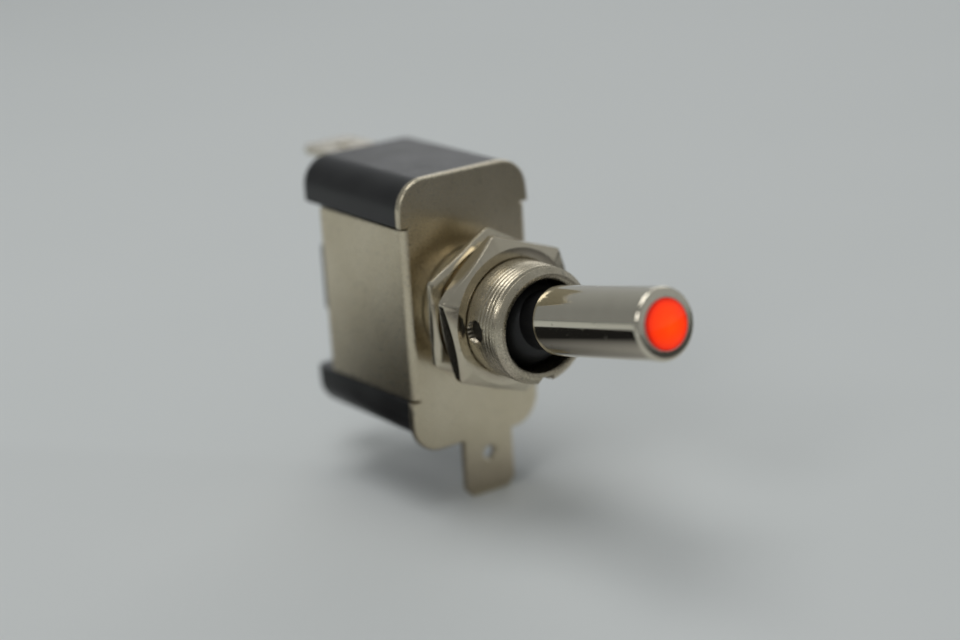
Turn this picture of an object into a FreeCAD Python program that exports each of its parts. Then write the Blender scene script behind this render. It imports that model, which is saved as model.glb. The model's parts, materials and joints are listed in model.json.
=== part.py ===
import FreeCAD, Part
import math
import os

# Panel-mount toggle switch with a lit lever tip.
# Millimetres. The origin is on the bushing's axis at the plate's front face. The lever points
# to -Y, the terminals to +Y and the long side of the plate runs along Z. The lever is modelled
# in its upper (on) position.

# ---- driving dimensions -------------------------------------------------------------------

SHEET = 0.8                 # frame sheet thickness
PLATE_HALF_W = 8.0
PLATE_TOP = 14.0
PLATE_BOTTOM = -15.0
PLATE_CORNER_R = 3.2
WING_HALF_W = 7.85          # outer faces of the folded wings
WING_HALF_H = 9.05
WING_BACK = 15.3
WING_BEND_R = 0.9
RELIEF = 0.2                # gap between the plate's lobes and the wings
CRIMP_ZONES = [(-8.7, -3.9), (4.4, 8.7)]
CRIMP_BACK = 15.6
CRIMP_REACH = 6.15          # how far in the crimped tabs end
CRIMP_BEND_R = 0.7

BLADE_W = 6.3               # standard 6.3 x 0.8 blade
BLADE_T = 0.8
BLADE_TIP_CHAMFER = 0.9
GROUND_X = 1.3
GROUND_TIP = -21.4
GROUND_HOLE_Z = -17.0
GROUND_HOLE_R = 0.75

PLATE_HOLE_R = 6.05         # clears the bushing's thread

THREAD_R = 6.0              # M12
PITCH_R = 5.8
PITCH_ZONES = [(2.95, 4.25), (5.3, 10.25)]     # drawn at pitch radius: the nuts and the pin holes
BORE_R = 4.75
BUSHING_LEN = 12.6
THREAD_END = 12.0
NOSE_R = 5.5
FLANGE_R = 7.3              # behind the plate
FLANGE_T = 0.6
FLANGE_HALF_W = 5.9         # its two flats, between the wings
KEYWAY_W = 1.8
KEYWAY_FLOOR = 5.15

NUT_AF = 15.0
REAR_NUT = (3.0, 4.2)       # distances in front of the plate
REAR_NUT_TURN = -30.0
FRONT_NUT = (5.35, 7.5)
FRONT_NUT_TURN = -19.5
NUT_BORE_R = 5.86
NUT_FACE_INSET = 0.45       # the flat face's circle, inside the flats
NUT_CHAMFER = math.radians(25)
NUT_CHAMFER_SHARE = 0.3     # of the thickness, at most

BODY_HALF_W = 7.9
BODY_HALF_H = 13.9
BODY_CORNER_R = 3.1
BODY_FRONT = 0.85
BODY_BACK = 18.9
BODY_BACK_R = 1.2
RECESS_HALF_W = 6.95        # body half width between the wings
RECESS_HALF_H = 9.2
SHOULDER = 14.75            # where the crimped tabs bear
BACK_HALF_W = 6.0           # body half width behind the wings
BACK_STEP = 16.6            # behind this only the middle keeps that width
BACK_STEP_HALF_W = 5.2
BACK_RIB_Z = (-3.3, 3.9)
CAVITY_HALF_W = 5.2
CAVITY_HALF_H = 11.4
CAVITY_FLOOR = 15.6
CAVITY_CORNER_R = 1.2
BODY_FRONT_CHAMFER = 0.4    # clears the inside of the wings' bends
FLANGE_ROOM = 0.1

PIVOT = 8.87                # lever pivot, in front of the plate
TILT = 10.9                 # lever angle in each position
BALL_R = 4.6
STEM_R = 2.9
SPIGOT_END = 20.4
TAIL_R = 2.3
TAIL_END = 17.0             # behind the pivot
SLEEVE_R = 3.48
SLEEVE_BORE_R = 2.95
SLEEVE_START = 6.2
SLEEVE_END = 22.3
SLEEVE_TIP_R = 0.98         # rounding of the sleeve's front edge
SLEEVE_FOOT_R = 0.3
LENS_R = 2.45
LENS_START = 20.6
LENS_SEAT_GAP = 0.1
LENS_EDGE = 22.45
LENS_APEX = 22.9
LED_R = 1.5
LED_BASE = 16.5
LED_SHOULDER = 19.9
LEAD_CHANNEL_R = 1.0
LEAD_R = 0.3
LEAD_SPACING = 0.5
LEAD_EXIT = 6.5             # behind the pivot
LEAD_EXIT_X = 2.9
PIN_R = 1.25
PIN_X = (1.6, 5.3)          # each pin's inner and outer end
PIN_HOLE_FLOOR = 1.5
RUNNING_GAP = 0.05

PLUNGER_R = 1.3
PLUNGER_HOLE_END = 8.5
PLUNGER_START = 13.6
PLUNGER_TIP = 20.4
SPRING_MEAN_R = 0.9
SPRING_WIRE_R = 0.17
SPRING_COILS = 6
SPRING_END_GAP = 0.1

ROCKER_TILT = 6.0
ROCKER_HALF_W = 2.2
ROCKER_T = 0.6
ROCKER_FRONT = 11.6         # front face at its middle, level
ROCKER_DISH_R = 9.6
ROCKER_CREST = 4.6
ROCKER_ARM_Z = 7.0
ROCKER_ARM_Y = 11.2
ROCKER_END = 9.5
CONTACT_Z = 8.2
MOVING_CONTACT_R = 1.3
MOVING_CONTACT_T = 0.9
FIXED_CONTACT_R = 1.6
FIXED_CONTACT_Y = 13.75

RIVET_R = 1.25
RIVET_HOLE_R = 1.3
RIVET_HEAD_R = 2.1
RIVET_HEAD_T = 0.6
TERMINAL_FOOT_Y = 17.75
TERMINAL_FOOT_Z = 5.0
TERMINAL_OUTER_Z = 13.3
TERMINAL_TIP_Y = 26.0
TERMINAL_HOLE_Y = 22.2
TERMINAL_HOLE_R = 0.9
TERMINAL_BEND_R = (1.0, 0.3)    # outside and inside of the bend
SEAT_GAP = 0.1              # around the terminal's foot
STRIP_T = 0.6
EAR_X = (2.45, 3.05)
EAR_Y = 10.9
EAR_HALF_H = 2.0
FULCRUM_R = 0.8
FULCRUM_HALF_W = 1.5
TRUNNION_R = 0.35
TRUNNION_X = (1.6, 3.0)

RESISTOR_R = 0.9
RESISTOR_END_R = 0.3
RESISTOR_X = 4.1
RESISTOR_Y = (5.6, 9.0)
WIRE_R = 0.35
WIRE_X = 3.9
WIRE_START_Y = -2.4

# ---- helpers ------------------------------------------------------------------------------

X_AXIS = FreeCAD.Vector(1, 0, 0)
Y_AXIS = FreeCAD.Vector(0, 1, 0)
Z_AXIS = FreeCAD.Vector(0, 0, 1)
PIVOT_POINT = FreeCAD.Vector(0, -PIVOT, 0)
ROCKER_PIVOT = FreeCAD.Vector(0, ROCKER_FRONT + ROCKER_T, 0)


def box(x, y, z):
    """Box from three (low, high) pairs."""
    corner = FreeCAD.Vector(x[0], y[0], z[0])
    return Part.makeBox(x[1] - x[0], y[1] - y[0], z[1] - z[0], corner)


def rod(radius, start, end):
    """Cylinder between two points."""
    a = FreeCAD.Vector(*start)
    b = FreeCAD.Vector(*end)
    return Part.makeCylinder(radius, (b - a).Length, a, b - a)


def cyl_y(radius, y0, y1, x=0.0, z=0.0):
    return rod(radius, (x, y0, z), (x, y1, z))


def ball(radius, x, y, z):
    return Part.makeSphere(radius, FreeCAD.Vector(x, y, z))


def turned(profile):
    """Solid of revolution about the Y axis from (radius, y) points."""
    points = [FreeCAD.Vector(r, y, 0) for r, y in profile]
    face = Part.Face(Part.makePolygon(points + points[:1]))
    return face.revolve(FreeCAD.Vector(0, 0, 0), Y_AXIS, 360)


def upright_block(half_w, z_low, z_high, y0, y1, corner_r):
    """Block along Y whose outline in X and Z has rounded corners."""
    block = box((-half_w, half_w), (y0, y1), (z_low, z_high))
    edges = [e for e in block.Edges if abs(e.tangentAt(e.FirstParameter).y) > 0.99]
    return block.makeFillet(corner_r, edges)


def is_at(edge, x=None, y=None, z=None):
    """Whether the whole edge lies in the planes given."""
    near = 0.001
    low = edge.BoundBox.XMin, edge.BoundBox.YMin, edge.BoundBox.ZMin
    high = edge.BoundBox.XMax, edge.BoundBox.YMax, edge.BoundBox.ZMax
    planes = x, y, z
    return all(p is None or (abs(lo - p) < near and abs(hi - p) < near)
               for p, lo, hi in zip(planes, low, high))


def edges_at(shape, x=None, y=None, z=None):
    return [e for e in shape.Edges if is_at(e, x, y, z)]


def wire_through(radius, points):
    """Round wire through the points, with ball-shaped corners."""
    parts = [rod(radius, a, b) for a, b in zip(points, points[1:])]
    parts += [ball(radius, *p) for p in points[1:-1]]
    return parts[0].fuse(parts[1:]).removeSplitter()


def along_lever(distance):
    """Y of a point this far out along the untilted lever."""
    return -PIVOT - distance


def tilt_lever(shape):
    """Turn a part that was built on the Y axis to the lever's upper position."""
    shape.rotate(PIVOT_POINT, X_AXIS, -TILT)
    return shape


def tilt_rocker(shape):
    """Turn a part that was built level to the rocker's closed position."""
    shape.rotate(ROCKER_PIVOT, X_AXIS, ROCKER_TILT)
    return shape


# ---- frame, bushing and nuts --------------------------------------------------------------

def frame_plate():
    plate = upright_block(PLATE_HALF_W, PLATE_BOTTOM, PLATE_TOP, 0, SHEET, PLATE_CORNER_R)
    side_z = (-WING_HALF_H - RELIEF, WING_HALF_H + RELIEF)
    for side in (-1, 1):
        inner = side * (WING_HALF_W - WING_BEND_R)
        outer = side * (PLATE_HALF_W + 1)
        plate = plate.cut(box(sorted((inner, outer)), (-1, SHEET + 1), side_z))
    return plate


def frame_channel():
    """The folded part: the plate's middle and both wings."""
    wing_z = (-WING_HALF_H, WING_HALF_H)
    outer_x = WING_HALF_W
    inner_x = WING_HALF_W - SHEET
    outside = box((-outer_x, outer_x), (0, WING_BACK), wing_z)
    corners = edges_at(outside, x=-outer_x, y=0) + edges_at(outside, x=outer_x, y=0)
    outside = outside.makeFillet(WING_BEND_R, corners)
    inside = box((-inner_x, inner_x), (SHEET, WING_BACK + 1), wing_z)
    corners = edges_at(inside, x=-inner_x, y=SHEET) + edges_at(inside, x=inner_x, y=SHEET)
    inside = inside.makeFillet(WING_BEND_R - SHEET, corners)
    return outside.cut(inside)


def crimp_tab(side, z_range):
    """Tab on a wing's back edge, folded in over the housing's shoulder."""
    block = box((CRIMP_REACH, WING_HALF_W), (SHOULDER + RUNNING_GAP, CRIMP_BACK), z_range)
    tab = block.makeFillet(CRIMP_BEND_R, edges_at(block, x=WING_HALF_W, y=CRIMP_BACK))
    return tab if side > 0 else tab.mirror(FreeCAD.Vector(0, 0, 0), X_AXIS)


def blade(length):
    """Flat 6.3 blade along +Z from Z = 0, with bevelled tip corners, its face at Y = 0."""
    half = BLADE_W / 2
    tip = BLADE_TIP_CHAMFER
    outline = [(-half, 0), (half, 0), (half, length - tip), (half - tip, length),
               (tip - half, length), (-half, length - tip)]
    points = [FreeCAD.Vector(x, 0, z) for x, z in outline]
    return Part.Face(Part.makePolygon(points + points[:1])).extrude(Y_AXIS * BLADE_T)


def ground_blade():
    root_overlap = 1.0
    length = PLATE_BOTTOM - GROUND_TIP + root_overlap
    shape = blade(length)
    shape.rotate(FreeCAD.Vector(0, 0, 0), Y_AXIS, 180)
    shape.translate(FreeCAD.Vector(GROUND_X, 0, PLATE_BOTTOM + root_overlap))
    return shape.cut(cyl_y(GROUND_HOLE_R, -1, BLADE_T + 1, GROUND_X, GROUND_HOLE_Z))


def mounting_frame():
    tabs = [crimp_tab(side, z_range) for side in (-1, 1) for z_range in CRIMP_ZONES]
    pieces = [frame_channel(), ground_blade()] + tabs
    frame = frame_plate().fuse(pieces).removeSplitter()
    return frame.cut(cyl_y(PLATE_HOLE_R, -1, SHEET + 1))


def threaded_bushing():
    """Turned bushing with a flat-sided flange, a keyway and a cross hole for the pivot pins."""
    flange_back = SHEET + FLANGE_T
    profile = [(BORE_R, flange_back), (FLANGE_R, flange_back), (FLANGE_R, SHEET), (THREAD_R, SHEET)]
    for start, end in PITCH_ZONES:
        profile += [(THREAD_R, -start), (PITCH_R, -start), (PITCH_R, -end), (THREAD_R, -end)]
    profile += [(THREAD_R, -THREAD_END), (NOSE_R, -BUSHING_LEN), (BORE_R, -BUSHING_LEN)]
    bushing = turned(profile)
    for side in (-1, 1):
        beyond_flat = sorted((side * FLANGE_HALF_W, side * (FLANGE_R + 1)))
        bushing = bushing.cut(box(beyond_flat, (SHEET, flange_back + 1), (-FLANGE_R, FLANGE_R)))
    keyway = box((-KEYWAY_W / 2, KEYWAY_W / 2), (-BUSHING_LEN - 1, 0), (-THREAD_R - 1, -KEYWAY_FLOOR))
    cross_hole = rod(PIN_R, (-THREAD_R - 1, -PIVOT, 0), (THREAD_R + 1, -PIVOT, 0))
    return bushing.cut(keyway).cut(cross_hole)


def hex_nut(span, turn):
    """Thin hexagon nut between two distances in front of the plate, chamfered on both faces."""
    corner_r = NUT_AF / math.sqrt(3)
    corners = []
    for k in range(6):
        angle = math.radians(turn + 60 * k)
        corners.append(FreeCAD.Vector(corner_r * math.cos(angle), -span[1], corner_r * math.sin(angle)))
    thickness = span[1] - span[0]
    nut = Part.Face(Part.makePolygon(corners + corners[:1])).extrude(Y_AXIS * thickness)
    face_r = NUT_AF / 2 - NUT_FACE_INSET
    drop = min((corner_r - face_r) * math.tan(NUT_CHAMFER), thickness * NUT_CHAMFER_SHARE)
    drum = turned([(0, -span[1]), (face_r, -span[1]), (corner_r, -span[1] + drop),
                   (corner_r, -span[0] - drop), (face_r, -span[0]), (0, -span[0])])
    nut = nut.common(drum)
    return nut.cut(cyl_y(NUT_BORE_R, -span[1] - 1, -span[0] + 1))


def rear_nut():
    return hex_nut(REAR_NUT, REAR_NUT_TURN)


def front_nut():
    return hex_nut(FRONT_NUT, FRONT_NUT_TURN)


# ---- housing and terminals ----------------------------------------------------------------

def flange_room():
    """The space the bushing's flange takes at the housing's mouth."""
    flange_back = SHEET + FLANGE_T
    half_w = FLANGE_HALF_W + FLANGE_ROOM
    room = cyl_y(FLANGE_R + FLANGE_ROOM, 0, flange_back + FLANGE_ROOM)
    return room.common(box((-half_w, half_w), (0, flange_back + 1), (-FLANGE_R - 1, FLANGE_R + 1)))


def housing():
    """Moulded cup, open towards the plate, narrowed where the wings hold it."""
    body = upright_block(BODY_HALF_W, -BODY_HALF_H, BODY_HALF_H, BODY_FRONT, BODY_BACK, BODY_CORNER_R)
    body = body.makeFillet(BODY_BACK_R, edges_at(body, y=BODY_BACK))
    for side in (-1, 1):
        outer = side * (BODY_HALF_W + 1)
        body = body.cut(box(sorted((side * RECESS_HALF_W, outer)), (0, SHOULDER),
                            (-RECESS_HALF_H, RECESS_HALF_H)))
        body = body.cut(box(sorted((side * BACK_HALF_W, outer)), (SHOULDER, BODY_BACK + 1),
                            (-RECESS_HALF_H, RECESS_HALF_H)))
        for z_range in ((-RECESS_HALF_H, BACK_RIB_Z[0]), (BACK_RIB_Z[1], RECESS_HALF_H)):
            body = body.cut(box(sorted((side * BACK_STEP_HALF_W, outer)), (BACK_STEP, BODY_BACK + 1),
                                z_range))
        body = body.makeChamfer(BODY_FRONT_CHAMFER, edges_at(body, x=side * RECESS_HALF_W, y=BODY_FRONT))
    cavity = upright_block(CAVITY_HALF_W, -CAVITY_HALF_H, CAVITY_HALF_H, 0, CAVITY_FLOOR, CAVITY_CORNER_R)
    body = body.cut(cavity).cut(flange_room())
    for side in (-1, 1):
        foot_z = sorted((side * (TERMINAL_FOOT_Z - SEAT_GAP), side * (TERMINAL_OUTER_Z + SEAT_GAP)))
        half = BLADE_W / 2 + SEAT_GAP
        body = body.cut(box((-half, half), (TERMINAL_FOOT_Y, BODY_BACK + 1), foot_z))
        body = body.cut(cyl_y(RIVET_HOLE_R, CAVITY_FLOOR - 1, BODY_BACK + 1, 0, side * CONTACT_Z))
    return body


def terminal():
    """Upper blade terminal: a foot on the housing's back, bent out into a 6.3 blade."""
    half = BLADE_W / 2
    foot_back = TERMINAL_FOOT_Y + BLADE_T
    foot = box((-half, half), (TERMINAL_FOOT_Y, foot_back), (TERMINAL_FOOT_Z, TERMINAL_OUTER_Z))
    blade_length = TERMINAL_TIP_Y - TERMINAL_FOOT_Y
    tongue = blade(blade_length)
    tongue.rotate(FreeCAD.Vector(0, 0, 0), X_AXIS, -90)
    tongue.translate(FreeCAD.Vector(0, TERMINAL_FOOT_Y, TERMINAL_OUTER_Z))
    shape = foot.fuse(tongue).removeSplitter()
    inner_z = TERMINAL_OUTER_Z - BLADE_T
    outer_bend, inner_bend = TERMINAL_BEND_R
    shape = shape.makeFillet(outer_bend, edges_at(shape, y=TERMINAL_FOOT_Y, z=TERMINAL_OUTER_Z))
    shape = shape.makeFillet(inner_bend, edges_at(shape, y=foot_back, z=inner_z))
    hole_ends = [(0, TERMINAL_HOLE_Y, z) for z in (inner_z - 1, TERMINAL_OUTER_Z + 1)]
    shape = shape.cut(rod(TERMINAL_HOLE_R, *hole_ends))
    return shape.cut(cyl_y(RIVET_HOLE_R, TERMINAL_FOOT_Y - 1, foot_back + 1, 0, CONTACT_Z))


def load_terminal():
    return terminal()


def power_terminal():
    return terminal().mirror(FreeCAD.Vector(0, 0, 0), Z_AXIS)


def rivet(z, inner_seat):
    """Terminal rivet: a flat head inside the cavity and a domed head on the terminal's foot."""
    outer_seat = TERMINAL_FOOT_Y + BLADE_T
    shank = cyl_y(RIVET_R, inner_seat - RIVET_HEAD_T / 2, outer_seat + RIVET_HEAD_T / 2, 0, z)
    inner_head = cyl_y(RIVET_HEAD_R, inner_seat - RIVET_HEAD_T, inner_seat, 0, z)
    dome_r = (RIVET_HEAD_R ** 2 + RIVET_HEAD_T ** 2) / (2 * RIVET_HEAD_T)
    dome = ball(dome_r, 0, outer_seat + RIVET_HEAD_T - dome_r, z)
    dome = dome.common(cyl_y(RIVET_HEAD_R + 1, outer_seat, outer_seat + RIVET_HEAD_T + 1, 0, z))
    return shank.fuse([inner_head, dome]).removeSplitter()


def power_rivet():
    return rivet(-CONTACT_Z, CAVITY_FLOOR)


def load_rivet():
    return rivet(CONTACT_Z, CAVITY_FLOOR - STRIP_T)


def fixed_contact():
    return cyl_y(FIXED_CONTACT_R, FIXED_CONTACT_Y, CAVITY_FLOOR - RIVET_HEAD_T, 0, -CONTACT_Z)


def rocker_saddle():
    """Strip on the cavity floor with a rounded fulcrum and two ears beside the rocker."""
    top = ROCKER_FRONT + ROCKER_T + RUNNING_GAP
    strip_y = (CAVITY_FLOOR - STRIP_T, CAVITY_FLOOR)
    strip = box((-RIVET_HEAD_R, RIVET_HEAD_R), strip_y, (-EAR_HALF_H, CONTACT_Z + RIVET_HEAD_R))
    wide = box((-EAR_X[1], EAR_X[1]), strip_y, (-EAR_HALF_H, EAR_HALF_H))
    ridge_x = (-FULCRUM_HALF_W, FULCRUM_HALF_W)
    post = box(ridge_x, (top + FULCRUM_R, CAVITY_FLOOR), (-FULCRUM_R, FULCRUM_R))
    ridge = rod(FULCRUM_R, *[(x, top + FULCRUM_R, 0) for x in ridge_x])
    ears = [box(sorted((s * EAR_X[0], s * EAR_X[1])), (EAR_Y, CAVITY_FLOOR), (-EAR_HALF_H, EAR_HALF_H))
            for s in (-1, 1)]
    saddle = strip.fuse([wide, post, ridge] + ears).removeSplitter()
    for side in (-1, 1):
        through_ear = [(side * x, ROCKER_PIVOT.y, 0) for x in (FULCRUM_HALF_W + 0.1, EAR_X[1] + 1)]
        saddle = saddle.cut(rod(TRUNNION_R + RUNNING_GAP, *through_ear))
    return saddle.cut(cyl_y(RIVET_HOLE_R, CAVITY_FLOOR - 2, CAVITY_FLOOR + 1, 0, CONTACT_Z))


# ---- rocker -------------------------------------------------------------------------------

def rocker_contact():
    """Seesaw blade, dished where the plunger sweeps over it, with a flat arm at each end."""
    centre_y = ROCKER_FRONT - ROCKER_DISH_R

    def arc(radius, z_end):
        y_end = centre_y + math.sqrt(radius ** 2 - z_end ** 2)
        return Part.Arc(FreeCAD.Vector(0, y_end, -z_end), FreeCAD.Vector(0, centre_y + radius, 0),
                        FreeCAD.Vector(0, y_end, z_end)).toShape()

    front = arc(ROCKER_DISH_R, ROCKER_CREST)
    back = arc(ROCKER_DISH_R + ROCKER_T, ROCKER_CREST + 0.1)
    ends = []
    for side in (-1, 1):
        front_tip = front.Vertexes[0 if side < 0 else 1].Point
        back_tip = back.Vertexes[0 if side < 0 else 1].Point
        arm_front = FreeCAD.Vector(0, ROCKER_ARM_Y, side * ROCKER_ARM_Z)
        arm_back = FreeCAD.Vector(0, ROCKER_ARM_Y + ROCKER_T, side * (ROCKER_ARM_Z - 0.1))
        end_front = FreeCAD.Vector(0, ROCKER_ARM_Y, side * ROCKER_END)
        end_back = FreeCAD.Vector(0, ROCKER_ARM_Y + ROCKER_T, side * ROCKER_END)
        path = [front_tip, arm_front, end_front, end_back, arm_back, back_tip]
        ends += [Part.makeLine(a, b) for a, b in zip(path, path[1:])]
    outline = Part.Wire(Part.__sortEdges__([front, back] + ends))
    blade_shape = Part.Face(outline).extrude(X_AXIS * (2 * ROCKER_HALF_W))
    blade_shape.translate(X_AXIS * -ROCKER_HALF_W)
    trunnions = [rod(TRUNNION_R, *[(side * x, ROCKER_PIVOT.y, 0) for x in TRUNNION_X])
                 for side in (-1, 1)]
    return tilt_rocker(blade_shape.fuse(trunnions).removeSplitter())


def moving_contact():
    seat = ROCKER_ARM_Y + ROCKER_T
    return tilt_rocker(cyl_y(MOVING_CONTACT_R, seat, seat + MOVING_CONTACT_T, 0, -CONTACT_Z))


# ---- lever --------------------------------------------------------------------------------

def lever_core():
    """Moulded core: ball, stem inside the sleeve, and a hollow tail that holds the plunger."""
    stem = cyl_y(STEM_R, along_lever(SPIGOT_END), along_lever(0))
    tail = cyl_y(TAIL_R, along_lever(0), along_lever(-TAIL_END))
    core = ball(BALL_R, 0, -PIVOT, 0).fuse([stem, tail]).removeSplitter()
    led_seat = cyl_y(LED_R + RUNNING_GAP, along_lever(SPIGOT_END + 1), along_lever(LED_BASE))
    channel = cyl_y(LEAD_CHANNEL_R, along_lever(LED_BASE + 1), along_lever(-LEAD_EXIT - LEAD_R))
    plunger_hole = cyl_y(PLUNGER_R + RUNNING_GAP, along_lever(-PLUNGER_HOLE_END),
                         along_lever(-TAIL_END - 1))
    pin_hole_x = (PIN_HOLE_FLOOR, BALL_R + 1)
    pin_holes = [rod(PIN_R + RUNNING_GAP, *[(side * x, -PIVOT, 0) for x in pin_hole_x])
                 for side in (-1, 1)]
    lead_exit = rod(LEAD_R + RUNNING_GAP, (-TAIL_R - 1, along_lever(-LEAD_EXIT), 0),
                    (TAIL_R + 1, along_lever(-LEAD_EXIT), 0))
    for hole in [led_seat, channel, plunger_hole, lead_exit] + pin_holes:
        core = core.cut(hole)
    return tilt_lever(core)


def lever_sleeve():
    """Plated tube with a rounded front edge around the lens and a small rounding at its foot."""
    tube = cyl_y(SLEEVE_R, along_lever(SLEEVE_END), along_lever(SLEEVE_START))
    tube = tube.makeFillet(SLEEVE_TIP_R, edges_at(tube, y=along_lever(SLEEVE_END)))
    tube = tube.makeFillet(SLEEVE_FOOT_R, edges_at(tube, y=along_lever(SLEEVE_START)))
    bore = cyl_y(SLEEVE_BORE_R, along_lever(LENS_START - LENS_SEAT_GAP), along_lever(SLEEVE_START - 1))
    lens_hole = cyl_y(LENS_R + RUNNING_GAP, along_lever(SLEEVE_END + 1), along_lever(LENS_START - 1))
    return tilt_lever(tube.cut(bore).cut(lens_hole))


def led_lens():
    """Red lens with a shallow dome, hollow behind for the light's own dome."""
    rise = LENS_APEX - LENS_EDGE
    dome_r = (LENS_R ** 2 + rise ** 2) / (2 * rise)
    lens = cyl_y(LENS_R, along_lever(LENS_EDGE), along_lever(LENS_START))
    dome = ball(dome_r, 0, along_lever(LENS_APEX - dome_r), 0)
    dome = dome.common(cyl_y(LENS_R, along_lever(LENS_APEX + 1), along_lever(LENS_EDGE)))
    lens = lens.fuse(dome).removeSplitter()
    room = LED_R + LENS_SEAT_GAP
    hollow = cyl_y(room, along_lever(LED_SHOULDER), along_lever(LENS_START - 1))
    hollow = hollow.fuse(ball(room, 0, along_lever(LED_SHOULDER), 0))
    return tilt_lever(lens.cut(hollow))


def led_body():
    body = cyl_y(LED_R, along_lever(LED_SHOULDER), along_lever(LED_BASE))
    return tilt_lever(body.fuse(ball(LED_R, 0, along_lever(LED_SHOULDER), 0)).removeSplitter())


def led_leads():
    """Two wires from the light, down the core's channel and out of its tail."""
    wires = []
    for side in (-1, 1):
        points = [(side * LEAD_SPACING, along_lever(LED_BASE), 0),
                  (side * LEAD_SPACING, along_lever(-LEAD_EXIT), 0),
                  (side * LEAD_EXIT_X, along_lever(-LEAD_EXIT), 0)]
        wires.append(tilt_lever(wire_through(LEAD_R, points)))
    return Part.makeCompound(wires)


def pivot_pin(side):
    """Short pin, pressed into the bushing's wall. It stops clear of the core's wire channel."""
    inner, outer = [(side * x, -PIVOT, 0) for x in PIN_X]
    return rod(PIN_R, inner, outer)


def left_pivot_pin():
    return pivot_pin(-1)


def right_pivot_pin():
    return pivot_pin(1)


def plunger():
    """Round-nosed plunger in the lever's tail."""
    nose = ball(PLUNGER_R, 0, along_lever(PLUNGER_R - PLUNGER_TIP), 0)
    shank = cyl_y(PLUNGER_R, along_lever(-PLUNGER_START), along_lever(PLUNGER_R - PLUNGER_TIP))
    return tilt_lever(shank.fuse(nose).removeSplitter())


def plunger_spring():
    length = PLUNGER_START - PLUNGER_HOLE_END - 2 * (SPRING_WIRE_R + SPRING_END_GAP)
    helix = Part.makeHelix(length / SPRING_COILS, length, SPRING_MEAN_R)
    start = FreeCAD.Vector(SPRING_MEAN_R, 0, 0)
    section = Part.Wire(Part.makeCircle(SPRING_WIRE_R, start, Y_AXIS))
    spring = Part.Wire(helix).makePipeShell([section], True, True)
    spring.rotate(FreeCAD.Vector(0, 0, 0), X_AXIS, -90)
    spring.translate(FreeCAD.Vector(0, along_lever(-PLUNGER_HOLE_END) + SPRING_WIRE_R + SPRING_END_GAP, 0))
    return tilt_lever(spring)


# ---- wiring in the housing ----------------------------------------------------------------

def series_resistor():
    body = cyl_y(RESISTOR_R, RESISTOR_Y[0], RESISTOR_Y[1], RESISTOR_X, CONTACT_Z)
    ends = edges_at(body, y=RESISTOR_Y[0]) + edges_at(body, y=RESISTOR_Y[1])
    return body.makeFillet(RESISTOR_END_R, ends)


def resistor_wires():
    """From the lever to the resistor, and from the resistor to the load rivet's head."""
    head_face = CAVITY_FLOOR - STRIP_T - RIVET_HEAD_T
    front = [(WIRE_X, WIRE_START_Y, 0), (WIRE_X, 3.0, 0), (RESISTOR_X, RESISTOR_Y[0] - 1, CONTACT_Z),
             (RESISTOR_X, RESISTOR_Y[0], CONTACT_Z)]
    back = [(RESISTOR_X, RESISTOR_Y[1], CONTACT_Z), (RESISTOR_X, head_face - 2, CONTACT_Z),
            (1.4, head_face - 1, CONTACT_Z), (1.4, head_face, CONTACT_Z)]
    return Part.makeCompound([wire_through(WIRE_R, front), wire_through(WIRE_R, back)])


def ground_wire():
    """From the lever to the back of the plate."""
    points = [(-WIRE_X, WIRE_START_Y, 0), (-WIRE_X, 3.2, 0), (-WIRE_X, 3.2, 9.0), (-WIRE_X, SHEET, 9.0)]
    return wire_through(WIRE_R, points)


PARTS = [
    mounting_frame, threaded_bushing, rear_nut, front_nut, housing, load_terminal, power_terminal,
    load_rivet, power_rivet, fixed_contact, rocker_saddle, rocker_contact, moving_contact,
    lever_core, lever_sleeve, led_lens, led_body, led_leads, left_pivot_pin, right_pivot_pin,
    plunger, plunger_spring, series_resistor, resistor_wires, ground_wire,
]

os.makedirs("parts", exist_ok=True)
for build in PARTS:
    shape = build()
    shape.exportStep(f"parts/{build.__name__}.step")
    print(build.__name__, "valid" if shape.isValid() else "NOT VALID", round(shape.Volume, 2),
          len(shape.Solids))
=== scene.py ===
"""Looks of a panel-mount toggle switch with a lit lever tip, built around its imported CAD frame.

Metres. The bushing's axis is the -Y direction, the lever points out along it and Z is up.
Pieces turned on the bushing or the lever are drawn in millimetres in that axis's own frame,
where local Z runs outwards, and `axis_frame` carries them to the row frame.
"""

import json
import math

import bmesh
import bpy
from mathutils import Matrix, Vector


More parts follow.
